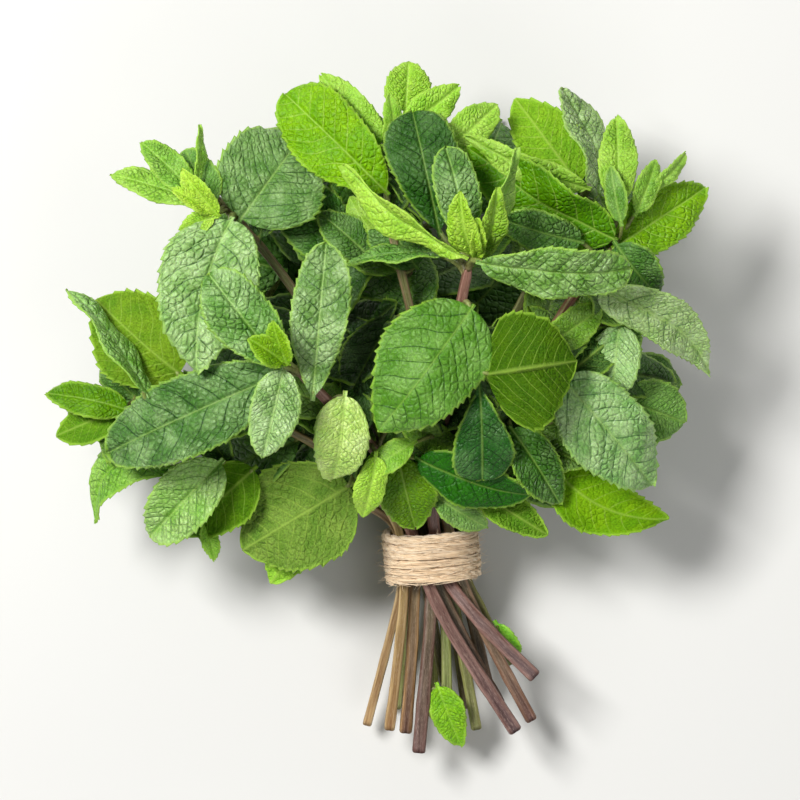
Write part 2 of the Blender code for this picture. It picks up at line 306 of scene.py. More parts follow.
def square_stem(rings_path):
    """Each ring's outline: a rounded square with a groove in each side and swollen joints."""
    angle = np.arange(STEM_SIDES) * math.tau / STEM_SIDES
    power = np.abs(np.cos(angle)) ** 3 + np.abs(np.sin(angle)) ** 3
    reach = power ** (-1 / 3) * (1 - GROOVE_DEPTH * np.cos(4 * angle)) * 0.93
    section = np.stack([np.cos(angle), np.sin(angle)], axis=1) * reach[:, None]
    run = np.arange(len(rings_path))[::-1] * STEM_STEP
    joint = (run + JOINT_START) % JOINT_SPACING
    joint = np.minimum(joint, JOINT_SPACING - joint)
    size = rings_path[:, 3] / CAD_CORNER * (1 + JOINT_SWELL * np.exp(-((joint / JOINT_LENGTH) ** 2)))
    size = size * np.clip(run / TIP_TAPER, 0.08, 1) ** 0.5
    return section[None] * size[:, None, None]


# Square herb stem, its skin waxy and faintly glossy. The colour runs from the cut end to
# the tip, broken by long fibres, and ridges run along the skin. Both are drawn about half a
# millimetre wide, because real ones would be too fine to show.
herb_stem, tree, shader = finish("waxy_square_stem")
skin = add_node(tree, "Attribute", attribute_name="skin_colour")
grain = add_node(tree, "Attribute", attribute_name="grain_place")
fibres = add_node(
    tree, "TexNoise", {"Scale": 1.0, "Detail": 6.0, "Roughness": 0.65, "Vector": grain.outputs["Vector"]},
)
streaks = add_node(tree, "MapRange", {0: fibres, 1: 0.36, 2: 0.7, 3: 0.0, 4: 1.0})
dark_skin = add_node(
    tree, "Mix", {0: 1.0, 6: skin, 7: linear("#b8a8a0")}, data_type="RGBA", blend_type="MULTIPLY",
)
light_skin = add_node(tree, "Mix", {0: 0.12, 6: skin, 7: linear("#d2b8a4")}, data_type="RGBA")
mixed_skin = add_node(tree, "Mix", {0: streaks, 6: dark_skin, 7: light_skin}, data_type="RGBA")
grains = add_node(tree, "TexNoise", {"Scale": 7.0, "Detail": 2.0, "Vector": grain.outputs["Vector"]})
specks = add_node(tree, "MapRange", {0: grains, 1: 0.58, 2: 0.7, 3: 0.0, 4: 0.4})
specked_skin = add_node(tree, "Mix", {0: specks, 6: mixed_skin, 7: linear("#cdb4a2")}, data_type="RGBA")
ridges = add_node(tree, "Bump", {"Strength": 0.2, "Distance": 0.0003, "Height": fibres})
feed(tree, shader, {
    "Base Color": specked_skin, "Normal": ridges, "Roughness": 0.46, "Specular IOR Level": 0.4,
})

# Freshly cut pith: soft, pale and matt, with a speckle of open cells about half a
# millimetre across.
stem_pith, tree, shader = finish("cut_stem_pith")
speckle = add_node(
    tree, "TexNoise",
    {"Scale": 2200.0, "Detail": 3.0, "Vector": add_node(tree, "TexCoord").outputs["Object"]},
)
pith_tone = add_node(
    tree, "Mix", {0: speckle, 6: linear("#b79a66"), 7: linear("#e0cf9c")}, data_type="RGBA",
)
feed(tree, shader, {"Base Color": pith_tone, "Roughness": 0.6})


def slope_cut(points, route):
    """Slants the cut end, so that its upper edge lies back along the stem."""
    along, _, up = route_frames(route[:, :3])
    count = int(CUT_RUN / STEM_STEP) + 1
    for ring in range(count):
        fade = 1 - ring * STEM_STEP / CUT_RUN
        rows = slice(ring * STEM_SIDES, (ring + 1) * STEM_SIDES)
        height = (points[rows] - route[ring, :3]) @ up[0] + route[0, 3]
        points[rows] += along[0] * (CUT_SLANT * fade * height)[:, None]
    points[-2] += along[0] * (CUT_SLANT * route[0, 3])


def stem_piece(node, finishes):
    """Replaces a CAD stem by the grooved one, with its skin colours and its cut ends."""
    route = smooth_route(cad_rings(node), STEM_STEP)
    points, faces = sweep(route[:, :3], square_stem(route))
    slope_cut(points, route)
    piece = closed_piece("grooved_" + node, [(points, faces)], "mint_stem", herb_stem, stem_pith)
    cut_end = len(points) - 2
    for face in piece.data.polygons:
        if cut_end in face.vertices:
            face.material_index = 1
            face.use_smooth = False
    share = np.linspace(0, 1, len(route)) ** 0.8
    share = np.concatenate([np.repeat(share, STEM_SIDES), [0, 1]])[:, None]
    low, high = np.array(linear(finishes.low)), np.array(linear(finishes.high))
    angle = np.tile(np.arange(STEM_SIDES), len(route)) * math.tau / STEM_SIDES
    corner = np.concatenate([((1 - np.cos(4 * angle)) / 2) ** 3, [0, 0]])[:, None] * 0.7
    skin = (low * (1 - share) + high * share) * (1 - corner)
    skin = skin + np.array(linear(finishes.corner)) * corner
    write_attribute(piece.data, "skin_colour", "FLOAT_COLOR", skin)
    run = np.repeat(np.arange(len(route)), STEM_SIDES) * STEM_STEP * 0.1
    seed = float(node[-2:]) * 7
    place = np.stack([np.cos(angle) * 3.4 + seed, np.sin(angle) * 3.4, run], axis=1)
    place = np.concatenate([place, np.full((2, 3), seed)])
    write_attribute(piece.data, "grain_place", "FLOAT_VECTOR", place)
    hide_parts(node)
    return route


stem_routes = {node: stem_piece(node, finishes) for node, finishes in STEM_FINISHES.items()}


# ---------------------------------------------------------------------------
# The tie: one length of three-ply jute twine, wound six times round the stems and
# pulled tight, so the turns lie side by side and loose fibres stand off it.

TIE_CENTRE = np.array((14.3, -43.5, 22.0))
TIE_AXIS = np.array((-0.1, 1.0, 0.3)) / np.linalg.norm((-0.1, 1.0, 0.3))
TIE_REACH = 13.4
TWINE_TURNS = 6
TWINE_PITCH = 2.6
TWINE_SKEW = 3.0
PLY_RADIUS = 0.88
PLY_OFFSET = 0.62
PLY_TWIST = 13.0
PLY_SIDES = 10
TWINE_SURFACE = TIE_REACH + 1.2

# Twisted jute: dull dry fibre with a faint sheen of stray hairs. Its colour runs in streaks along
# the fibres, from brown through tan to nearly white: the brown is painted shade and the near white
# a painted highlight, laid by a noise and not by the light. The strands are drawn 0.3 mm wide,
# coarser than real ones, so that they show.
jute, tree, shader = finish("twisted_jute")
lay = add_node(tree, "Attribute", attribute_name="grain_place")
strands = add_node(
    tree, "TexNoise", {"Scale": 1.0, "Detail": 8.0, "Roughness": 0.7, "Vector": lay.outputs["Vector"]},
)
strand_tone_and_painted_light = add_node(tree, "ValToRGB", {"Fac": strands})
strand_tone_and_painted_light.color_ramp.elements.new(0.48)
# The ramp's stops: painted shade in brown, the jute's own tan, and a painted highlight nearly white.
for stop, place, tone in zip(
    strand_tone_and_painted_light.color_ramp.elements, (0.3, 0.48, 0.66), ("#a8835a", "#ecd0aa", "#fdeed6"),
):
    stop.position = place
    stop.color = linear(tone)
frayed = add_node(tree, "Bump", {"Strength": 0.7, "Distance": 0.0005, "Height": strands})
feed(tree, shader, {
    "Base Color": strand_tone_and_painted_light, "Normal": frayed, "Roughness": 0.88, "Sheen Weight": 0.25,
    "Specular IOR Level": 0.2,
})

tie_side = np.cross(TIE_AXIS, (0, 0, 1.0))
tie_side /= np.linalg.norm(tie_side)
tie_up = np.cross(tie_side, TIE_AXIS)


def twine_point(turn, reach, slip):
    """Points on the winding, at turns from its start, reaches from its axis and slips along it."""
    angle = math.tau * turn
    ring = tie_side * np.cos(angle)[:, None] + tie_up * np.sin(angle)[:, None]
    along = TWINE_PITCH * (turn - TWINE_TURNS / 2) + TWINE_SKEW * np.sin(angle) + slip
    return TIE_CENTRE + TIE_AXIS * along[:, None] + ring * reach[:, None]


def round_section(sides, reaches):
    """Each ring's outline: so many points round a circle, at each ring's own reach or reaches."""
    angle = np.arange(sides) * math.tau / sides
    circle = np.stack([np.cos(angle), np.sin(angle)], axis=1)
    return circle[None] * np.reshape(reaches, (len(reaches), -1, 1))


turns = np.linspace(0, TWINE_TURNS, TWINE_TURNS * 110 + 1)
uneven = 0.34 * np.sin(math.tau * turns * 1.3) + 0.2 * np.sin(math.tau * turns * 2.9 + 1)
core = twine_point(turns, TIE_REACH + 0.15 * np.sin(math.tau * turns * 2.1), uneven)
_, core_side, core_up = route_frames(core)
run = turns * math.tau * TIE_REACH
around = np.arange(PLY_SIDES) * math.tau / PLY_SIDES
plies = []
lay_places = []
for ply in range(3):
    twist = run / PLY_TWIST * math.tau + ply * math.tau / 3
    offset = core_side * np.cos(twist)[:, None] + core_up * np.sin(twist)[:, None]
    lumpy = 1 + 0.1 * np.sin(run[:, None] * 1.7 + around * 2 + ply * 2)
    lumpy = lumpy + 0.07 * np.sin(run[:, None] * 4.1 + around)
    plies.append(sweep(core + offset * PLY_OFFSET, round_section(PLY_SIDES, PLY_RADIUS * lumpy)))
    fibre_turn = around[None] + twist[:, None] * 0.5
    fibre_run = np.repeat(run[:, None] * 0.35, PLY_SIDES, 1)
    place = [np.cos(fibre_turn) * 2.6 + ply * 9, np.sin(fibre_turn) * 2.6, fibre_run]
    place = np.stack(place, axis=2).reshape(-1, 3)
    lay_places.append(np.concatenate([place, place[:1], place[-1:]]))
twine = closed_piece("wound_twine", plies, "jute_twine", jute)
write_attribute(twine.data, "grain_place", "FLOAT_VECTOR", np.concatenate(lay_places))
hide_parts("twine_tie")

# Coarse strands that have worked loose and lie along the winding, 4 to 20 mm each.
STRAND_COUNT = 620
shaker = np.random.default_rng(11)
strands = []
strand_places = []
for number in range(STRAND_COUNT):
    long = shaker.uniform(0.04, 0.22)
    turn = shaker.uniform(0, TWINE_TURNS - long) + long * np.linspace(0, 1, 12)
    drift = shaker.normal(0, 0.75) + shaker.normal(0, 0.4) * np.linspace(-1, 1, 12)
    lift = TIE_REACH + 1.32 + 0.12 * np.sin(np.linspace(0, 5, 12) + number)
    path = twine_point(turn, lift, drift)
    thick = shaker.uniform(0.1, 0.2) * np.sin(np.linspace(0.25, 2.9, 12))
    strands.append(sweep(path, round_section(4, thick)))
    strand_places.append(np.full((len(strands[-1][0]), 3), number * 0.37))
twine_strands = closed_piece("twine_strands", strands, "jute_twine", jute)
write_attribute(twine_strands.data, "grain_place", "FLOAT_VECTOR", np.concatenate(strand_places))

# Loose fibres: each springs out of the twine, bends over and ends in the air.
FIBRE_COUNT = 760
fuzz = []
for _ in range(FIBRE_COUNT):
    turn = shaker.uniform(0, TWINE_TURNS)
    start = twine_point(np.array([turn]), np.array([TWINE_SURFACE]), shaker.normal(0, 0.7, 1))[0]
    outward = start - TIE_CENTRE
    outward -= TIE_AXIS * (outward @ TIE_AXIS)
    outward /= np.linalg.norm(outward)
    lean = shaker.normal(0, 1, 3)
    length = shaker.uniform(1.2, 5.0)
    steps = np.linspace(0, 1, 5)[:, None]
    path = start + outward * (steps * length * 0.42 - 0.5) + lean * steps**1.6 * length * 0.4
    fuzz.append(sweep(path, round_section(3, 0.06 * (1 - 0.6 * steps))))
closed_piece("twine_fibres", fuzz, "jute_twine", jute)


# ---------------------------------------------------------------------------
# The leaves: thin toothed blades on short stalks, sunk along the veins and quilted
# between them. Three flat blanks are made once, from fine to coarse, and each leaf is bent
# from a copy of one.


class Leaf(NamedTuple):
    """One leaf, in millimetres: its midrib runs from base to tip, its blade is width across.

    roll turns the blade about the midrib, and at 0 it faces up. arch raises the middle of
    the midrib, sweep bends it to its right, and fold lifts the edges. heel and point are how
    drawn out its base and its tip are, and quilt is how deep the relief is. bloom is how much
    pale sheen is painted on the blade's crests, and how much the blade shines. pale is how
    light its veins are, from darkened by painted shade at 0 to yellow at 1.
    """

    name: str
    base: tuple
    tip: tuple
    width: float
    colour: str
    roll: float = 0.0
    arch: float = 3.0
    sweep: float = 0.0
    fold: float = 0.1
    quilt: float = 1.0
    heel: float = 0.5
    point: float = 0.7
    painted_sheen: float = 0.1
    pale: float = 0.0


LAYOUT_ORIGIN = np.array((1.7, 0.5, 0.0))
BLADE_THICKNESS = 0.34
BROAD_BLANK = (112, 54)
SMALL_BLANK = (52, 26)
INNER_BLANK = (28, 14)


def values_of(items, field, size, kind=float):
    """One flat array of a field of a mesh's points, faces or pattern coordinates."""
    values = np.zeros(len(items) * size, dtype=kind)
    items.foreach_get(field, values)
    return values


def flat_blank(rows, columns):
    """A flat grid with its pattern coordinates, from which like leaves are bent."""
    bpy.ops.object.select_all(action="DESELECT")
    bpy.ops.mesh.primitive_grid_add(x_subdivisions=rows, y_subdivisions=columns, size=1)
    blank = bpy.context.active_object
    blank.name = f"leaf_blank_{rows}"
    layer = blank.data.uv_layers[0]
    layer.name = "OFBake"
    corners = values_of(layer.data, "uv", 2, np.float32)
    corners[1::2] = corners[1::2] * 0.47 + 0.01
    layer.data.foreach_set("uv", corners)
    blank.data.shade_smooth()
    return blank


def leaf_axes(leaf):
    """The leaf's length, and its directions along, to its right and out of its upper side."""
    chord = np.subtract(leaf.tip, leaf.base).astype(float)
    length = np.linalg.norm(chord)
    along = chord / length
    face = np.array((0, 0, 1.0)) - along * along[2]
    face = Matrix.Rotation(math.radians(leaf.roll), 3, Vector(along)) @ Vector(face).normalized()
    face = np.array(face)
    return length, along, np.cross(along, face), face


def ovate(share, heel, point):
    """Half the outline of a mint leaf along its length, 1 at its widest."""
    share = np.clip(share, 0, 1)
    peak = heel / (heel + point)
    return share**heel * (1 - share) ** point / (peak**heel * (1 - peak) ** point)


def bend(leaf, share, across, half, lift):
    """Places of the blade at shares of its length, -1 to 1 across it, in millimetres."""
    length, along, right, face = leaf_axes(leaf)
    blade = np.clip(share, 0, 1)
    bow = np.where(share > 0, 4 * share * (1 - share), 4 * share)
    slope = leaf.arch * 4 * (1 - 2 * blade) / length
    normal = face - along * slope[..., None]
    normal /= np.linalg.norm(normal, axis=-1)[..., None]
    middle = np.array(leaf.base) - LAYOUT_ORIGIN + along * (length * share)[..., None]
    middle = middle + face * (leaf.arch * bow)[..., None] + right * (leaf.sweep * bow)[..., None]
    rise = half * np.abs(across) * leaf.fold + lift
    return middle + right * (half * across)[..., None] + normal * rise[..., None]


def wander(x, y, dice, size):
    """A smooth random field, about -1 to 1, whose swells are size millimetres across."""
    field = np.zeros_like(x)
    for _ in range(5):
        bearing, phase = dice.uniform(0, math.tau, 2)
        wave = math.tau / (size * dice.uniform(1.2, 2.6))
        field += np.sin(wave * (x * math.cos(bearing) + y * math.sin(bearing)) + phase)
    return field / 2.5


VEIN_PAIRS = 8.5
CELL_SIZE = 1.35
MARGIN_BAND = 6
PILLOW_HEIGHT = 0.5
MIDRIB_DEPTH = 0.3
MIDRIB_REACH = 0.75
RIB_REACH = 0.34


def blade_relief(leaf, share, across, half, dice):
    """The blade's relief in millimetres, then the fields that its finish reads.

    They are how quilted it is, how near the midrib and how near the margin, the count of side
    veins from the base, and the coordinates of the net's cells.
    """
    length = leaf_axes(leaf)[0]
    off_rib = np.abs(across) * half
    up = share * length
    spacing = length / VEIN_PAIRS + 0.3
    cell = CELL_SIZE + 0.018 * leaf.width
    rows = max(2, round(spacing * 0.7 / cell))
    vein = np.zeros_like(up)
    for side in (across < 0, across >= 0):
        swept = up - dice.uniform(0.5, 0.7) * off_rib - 0.7 / leaf.width * off_rib**2
        swept = swept + dice.uniform(0, spacing)
        swept = swept + 0.12 * spacing * wander(up, off_rib, dice, 8.0)
        vein = np.where(side, swept, vein)
    vein = vein / spacing
    run = off_rib * np.hypot(1, 0.6 + 0.7 * off_rib / leaf.width) + 0.65 * spacing * vein
    run = run / (cell * 1.15)
    cells = np.stack([vein * rows, run + np.where(across < 0, 40, 0)], axis=2)
    margin = np.clip(1 - (1 - np.abs(across)) * half / MARGIN_BAND, 0, 1)
    margin = margin * np.clip(share * 12, 0, 1)
    strength = 0.75 + 0.3 * wander(up, off_rib * np.sign(across + 1e-9), dice, 7.0)
    strength = leaf.quilt * np.clip(strength, 0.2, 1.3) * (1 - margin**9)
    midrib = np.exp(-((off_rib / MIDRIB_REACH) ** 2))
    pillow = np.abs(np.sin(math.pi * vein)) ** 0.75
    relief = strength * PILLOW_HEIGHT * pillow * (1 - midrib) - MIDRIB_DEPTH * leaf.quilt * midrib
    rib = np.exp(-((off_rib / (RIB_REACH - 0.2 * np.clip(share, 0, 1))) ** 2))
    return relief, strength * (1 - midrib), rib, margin, vein, cells


TOOTH_SPACING = 2.9


def teeth(leaf, share, across, dice):
    """Saw teeth that point to the tip: how far they push the margin out and forward."""
    length = leaf_axes(leaf)[0]
    count = max(7, round(length / TOOTH_SPACING))
    depth = min(1.3, max(0.45, 0.044 * leaf.width))
    run = share * count + np.where(across > 0, 0.35, 0.0)
    run = run + 0.25 * np.sin(run * 0.9 + dice.uniform(0, 6))
    saw = run % 1.0
    uneven = 0.75 + 0.35 * np.sin(np.floor(run) * 2.3)
    ends = np.clip((share - 0.07) * 9, 0, 1) * np.clip((1 - share) * 14, 0.15, 1)
    edge = np.abs(across) ** 8
    return depth * uneven * (saw**1.5 - 0.4) * ends * edge, 0.4 * depth * saw * ends * edge


BLADE_START = 1.5
EDGE_RIPPLE = 0.026
EDGE_DROOP = 0.07
BLADE_SWELL = 0.028
LOWEST_BLADE = BLADE_THICKNESS + 0.05


def leaf_data(leaf, blank, shape, rise):
    """The blank's mesh, copied and bent to the leaf, and raised by rise in millimetres."""
    data = blank.data.copy()
    flat = values_of(data.vertices, "co", 3).reshape(-1, 3)
    order = np.lexsort((np.round(-flat[:, 1], 5), np.round(flat[:, 0], 5)))
    size = (shape[0] + 1, shape[1] + 1)
    run = (flat[order, 0] + 0.5).reshape(size)
    cross = (-flat[order, 1] * 2).reshape(size)
    dice = np.random.default_rng(sum(map(ord, leaf.name)) * 131 + int(leaf.width * 7))
    length = leaf_axes(leaf)[0]
    even = 0.6 * run + 0.4 * (1 - np.cos(math.pi * run)) / 2
    share = even * (1 + BLADE_START / length) - BLADE_START / length
    across = np.sign(cross) * np.abs(cross) ** 1.1
    half = leaf.width / 2 * ovate(share, leaf.heel, leaf.point)
    half = np.maximum(half, 0.6 - 0.45 * np.clip(share, 0, 1))
    half = half * (1 + 0.05 * np.sin(share * 7 + dice.uniform(0, 6)) * np.sign(across))
    relief, quilt, rib, margin, vein, cells = blade_relief(leaf, share, across, half, dice)
    out, forward = teeth(leaf, share, across, dice)
    phase = dice.uniform(0, math.tau, 2)
    ripple = np.where(across > 0, phase[0], phase[1])
    wave = EDGE_RIPPLE * length * np.sin(share * 13 + ripple) * np.abs(across) ** 2.2
    lift = wave * np.clip(share * 5, 0, 1) - EDGE_DROOP * half * np.abs(across) ** 3
    swell = wander(share * length, half * across, dice, 20.0)
    lift = lift + BLADE_SWELL * length * swell * np.clip(share * 4, 0, 1)
    places = bend(leaf, share + forward / length, across, half + out, lift)
    down = np.gradient(places, axis=0)
    sideways = np.gradient(places, axis=1)
    normal = np.cross(sideways, down)
    normal /= np.maximum(np.linalg.norm(normal, axis=2), 1e-9)[..., None]
    places = places + normal * relief[..., None]
    places[..., 2] = np.maximum(places[..., 2] + rise, LOWEST_BLADE)
    flat[order] = places.reshape(-1, 3) * MM
    data.vertices.foreach_set("co", flat.ravel())
    fields = {"relief": np.stack([quilt, rib, margin], axis=2)}
    seed = dice.uniform(0, 50)
    fields["blade_place"] = np.stack([share * length, half * across, np.full(size, seed)], axis=2)
    fields["vein_place"] = np.stack([vein, share, np.full(size, leaf.painted_sheen)], axis=2)
    fields["cell_place"] = np.concatenate([cells, np.zeros((*size, 1))], axis=2)
    for name, values in fields.items():
        stored = np.zeros_like(flat)
        stored[order] = values.reshape(-1, 3)
        write_attribute(data, name, "FLOAT_VECTOR", stored)
    colour = [*linear(leaf.colour)[:3], leaf.pale]
    write_attribute(data, "blade_colour", "FLOAT_COLOR", np.tile(colour, len(flat)))
    return data


# Fresh spearmint blade. Upper side: a waxy skin that shines softly, with a yellower toothed rim
# and pale yellow veins on young leaves. The shade in its sunk veins and in the valleys of its
# quilted net is painted in as darker green, and pale patches of painted sheen lie on its crests.
# Underside: duller and downy, with pale veins.
def blade_finish(name, sunk, crest, painted_net_shade, vein_tone, vein_share, painted_sheen, gloss, shine):
    """A leaf surface: sunk scales the leaf's colour in the veins, darkening it as painted shade, and
    crest scales it between them.
    """
    made, tree, shader = finish(name)
    tint = add_node(tree, "Attribute", attribute_name="blade_colour")
    relief = add_node(tree, "Attribute", attribute_name="relief")
    place = add_node(tree, "Attribute", attribute_name="blade_place")
    veins = add_node(tree, "Attribute", attribute_name="vein_place")
    parts = add_node(tree, "SeparateXYZ", {0: relief.outputs["Vector"]})
    vein_parts = add_node(tree, "SeparateXYZ", {0: veins.outputs["Vector"]})

    # Broad patches, a few millimetres across, that vary the colour and the painted sheen.
    mottle = add_node(tree, "TexNoise", {"Scale": 0.16, "Detail": 4.0, "Vector": place.outputs["Vector"]})
    patch = add_node(tree, "ValToRGB", {"Fac": mottle})
    darker, lighter = patch.color_ramp.elements
    darker.position, darker.color = 0.32, (0.74, 0.84, 0.72, 1.0)
    lighter.position, lighter.color = 0.68, (1.22, 1.1, 1.05, 1.0)
    blade = add_node(tree, "Mix", {0: 1.0, 6: tint, 7: patch}, data_type="RGBA", blend_type="MULTIPLY")

    # The side veins run where the vein coordinate is a whole number, and thin out to the rim.
    nearest = add_node(tree, "Math", {0: vein_parts.outputs["X"], 1: 0.5}, operation="PINGPONG")
    fading = add_node(tree, "MapRange", {0: parts.outputs["Z"], 1: 0.0, 2: 1.0, 3: 0.07, 4: 0.02})
    off_vein = add_node(
        tree, "MapRange", {0: nearest, 1: 0.0, 2: fading, 3: 0.0, 4: 1.0},
        interpolation_type="SMOOTHSTEP",
    )
    # The net between them: quilted cells, and a finer net all over. Its meshes are drawn a
    # millimetre across, because half a millimetre, as on a real leaf, would not show.
    cells = add_node(tree, "Attribute", attribute_name="cell_place")
    cell_edge = add_node(
        tree, "TexVoronoi", {"Scale": 1.0, "Randomness": 0.8, "Vector": cells.outputs["Vector"]},
        voronoi_dimensions="2D", feature="DISTANCE_TO_EDGE",
    )
    dome = add_node(
        tree, "MapRange", {0: cell_edge, 1: 0.0, 2: 0.29, 3: 0.0, 4: 1.0},
        interpolation_type="SMOOTHSTEP",
    )
    # Painted shade: the colour darkens towards the edges of the cells, where the valleys between them
    # lie.
    net = add_node(tree, "MapRange", {0: cell_edge, 1: 0.0, 2: 0.14, 3: painted_net_shade, 4: 1.0})
    veinlets = add_node(
        tree, "TexVoronoi", {"Scale": 1.1, "Randomness": 1.0, "Vector": place.outputs["Vector"]},
        feature="DISTANCE_TO_EDGE",
    )
    # Painted shade along the sunk lines of the finer net.
    veinlet_line = add_node(tree, "MapRange", {0: veinlets, 1: 0.0, 2: 0.12, 3: 0.8, 4: 1.0})
    shown_net = add_node(tree, "Mix", {0: parts.outputs["X"], 2: 1.0, 3: net})
    netted = add_node(tree, "Math", {0: shown_net, 1: veinlet_line}, operation="MULTIPLY")
    raised = add_node(tree, "Math", {0: netted, 1: off_vein}, operation="MULTIPLY")

    # Colour: painted shade in the sunk veins and the valleys of the net, then crests, then pale veins
    # where the leaf has them.
    painted_vein_shade = add_node(
        tree, "Mix", {0: 1.0, 6: blade, 7: (*sunk, 1.0)}, data_type="RGBA", blend_type="MULTIPLY",
    )
    top = add_node(
        tree, "Mix", {0: 1.0, 6: blade, 7: (*crest, 1.0)}, data_type="RGBA", blend_type="MULTIPLY",
    )
    paleness = add_node(tree, "Math", {0: tint.outputs["Alpha"], 1: vein_share}, operation="MAXIMUM")
    groove = add_node(tree, "Mix", {0: paleness, 6: painted_vein_shade, 7: top}, data_type="RGBA")
    quilted = add_node(tree, "Mix", {0: raised, 6: groove, 7: top}, data_type="RGBA")
    on_vein = add_node(tree, "Math", {0: 1.0, 1: off_vein}, operation="SUBTRACT")
    paler_share = add_node(tree, "Math", {0: on_vein, 1: paleness}, operation="MULTIPLY")
    pale_vein = add_node(tree, "Math", {0: paler_share, 1: 0.6}, operation="MULTIPLY")
    rib_share = add_node(tree, "MapRange", {0: paleness, 1: 0.0, 2: 1.0, 3: 0.3, 4: 0.62})
    rib_mask = add_node(tree, "Math", {0: parts.outputs["Y"], 1: rib_share}, operation="MULTIPLY")
    vein_mask = add_node(tree, "Math", {0: rib_mask, 1: pale_vein}, operation="MAXIMUM")

    # Painted sheen: pale patches on the crests only, in place of the shine of the light on them.
    painted_sheen_patches = add_node(tree, "MapRange", {0: mottle, 1: 0.4, 2: 0.62, 3: 0.15, 4: painted_sheen})
    painted_sheen_share = add_node(tree, "Math", {0: painted_sheen_patches, 1: vein_parts.outputs["Z"]}, operation="MULTIPLY")
    painted_sheen_mask = add_node(tree, "Math", {0: painted_sheen_share, 1: raised}, operation="MULTIPLY")
    with_painted_sheen = add_node(tree, "Mix", {0: painted_sheen_mask, 6: quilted, 7: linear("#b4d096")}, data_type="RGBA")
    # Grit, in specks of half a millimetre and less: its relief catches the light, and its colour specks,
    # lighter and darker, are partly the blade's own grain and partly painted glints.
    grit = add_node(
        tree, "TexNoise",
        {"Scale": 1.7, "Detail": 5.0, "Roughness": 0.65, "Vector": place.outputs["Vector"]},
    )
    grain_and_painted_glint = add_node(tree, "MapRange", {0: grit, 1: 0.3, 2: 0.7, 3: 0.66, 4: 1.4})
    with_painted_glint = add_node(
        tree, "Mix", {0: 1.0, 6: with_painted_sheen, 7: grain_and_painted_glint}, data_type="RGBA", blend_type="MULTIPLY",
    )
    ribbed = add_node(tree, "Mix", {0: vein_mask, 6: with_painted_glint, 7: linear(vein_tone)}, data_type="RGBA")

    # The rim: a soft yellow-green band about a millimetre wide, brightest at the teeth.
    rim = add_node(
        tree, "MapRange", {0: parts.outputs["Z"], 1: 0.8, 2: 0.97, 3: 0.0, 4: 0.85},
        interpolation_type="SMOOTHSTEP",
    )
    bright = add_node(tree, "Mix", {0: 0.6, 6: blade, 7: linear("#a6d048")}, data_type="RGBA")
    rimmed = add_node(tree, "Mix", {0: rim, 6: ribbed, 7: bright}, data_type="RGBA")
    swell = add_node(tree, "Math", {0: dome, 1: parts.outputs["X"]}, operation="MULTIPLY")
    height = add_node(tree, "Math", {0: grit, 1: 0.45, 2: swell}, operation="MULTIPLY_ADD")
    puckered = add_node(tree, "Bump", {"Strength": 1.0, "Distance": 0.0005, "Height": height})
    waxy = add_node(
        tree, "MapRange", {0: vein_parts.outputs["Z"], 1: 0.0, 2: 0.6, 3: shine * 0.5, 4: shine * 1.5},
    )
    feed(tree, shader, {
        "Base Color": rimmed, "Normal": puckered, "Roughness": gloss, "Specular IOR Level": waxy,
        "Subsurface Weight": 0.18, "Subsurface Radius": (0.6, 1.0, 0.2), "Subsurface Scale": MM,
    })
    return made


blade_upper = blade_finish(
    "waxy_leaf_upper", (0.26, 0.38, 0.2), (1.0, 1.06, 0.54), 0.56, "#a4c456", 0.0, 1.5, 0.36, 0.4,
)
blade_under = blade_finish(
    "downy_leaf_underside", (0.9, 0.9, 0.9), (0.9, 0.95, 0.6), 0.9, "#a0bc50", 0.6, 0.6, 0.62, 0.16,
)


def leaf_piece(leaf, blank, shape, rise=0.0):
    """A finished leaf: the bent blade, given its thickness, with an upper and a lower side."""
    data = leaf_data(leaf, blank, shape, rise)
    data.name = leaf.name
    piece = bpy.data.objects.new(leaf.name, data)
    bpy.context.scene.collection.objects.link(piece)
    for made in (blade_upper, blade_under):
        data.materials.append(made)
    wall = piece.modifiers.new("wall", "SOLIDIFY")
    wall.thickness = BLADE_THICKNESS * MM
    wall.offset = -1
    wall.material_offset = 1
    bpy.ops.object.select_all(action="DESELECT")
    piece.select_set(True)
    bpy.context.view_layer.objects.active = piece
    bpy.ops.object.modifier_apply(modifier="wall")
    layer = piece.data.uv_layers["OFBake"]
    corners = values_of(layer.data, "uv", 2, np.float32)
    under = values_of(piece.data.polygons, "material_index", 1, np.int32)
    totals = values_of(piece.data.polygons, "loop_total", 1, np.int32)
    corners[1::2] += np.repeat(under, totals) * 0.5
    layer.data.foreach_set("uv", corners)
    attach(piece, "root")
    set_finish(piece, "mint_leaf")
    return piece


broad_blank = flat_blank(*BROAD_BLANK)
small_blank = flat_blank(*SMALL_BLANK)
inner_blank = flat_blank(*INNER_BLANK)

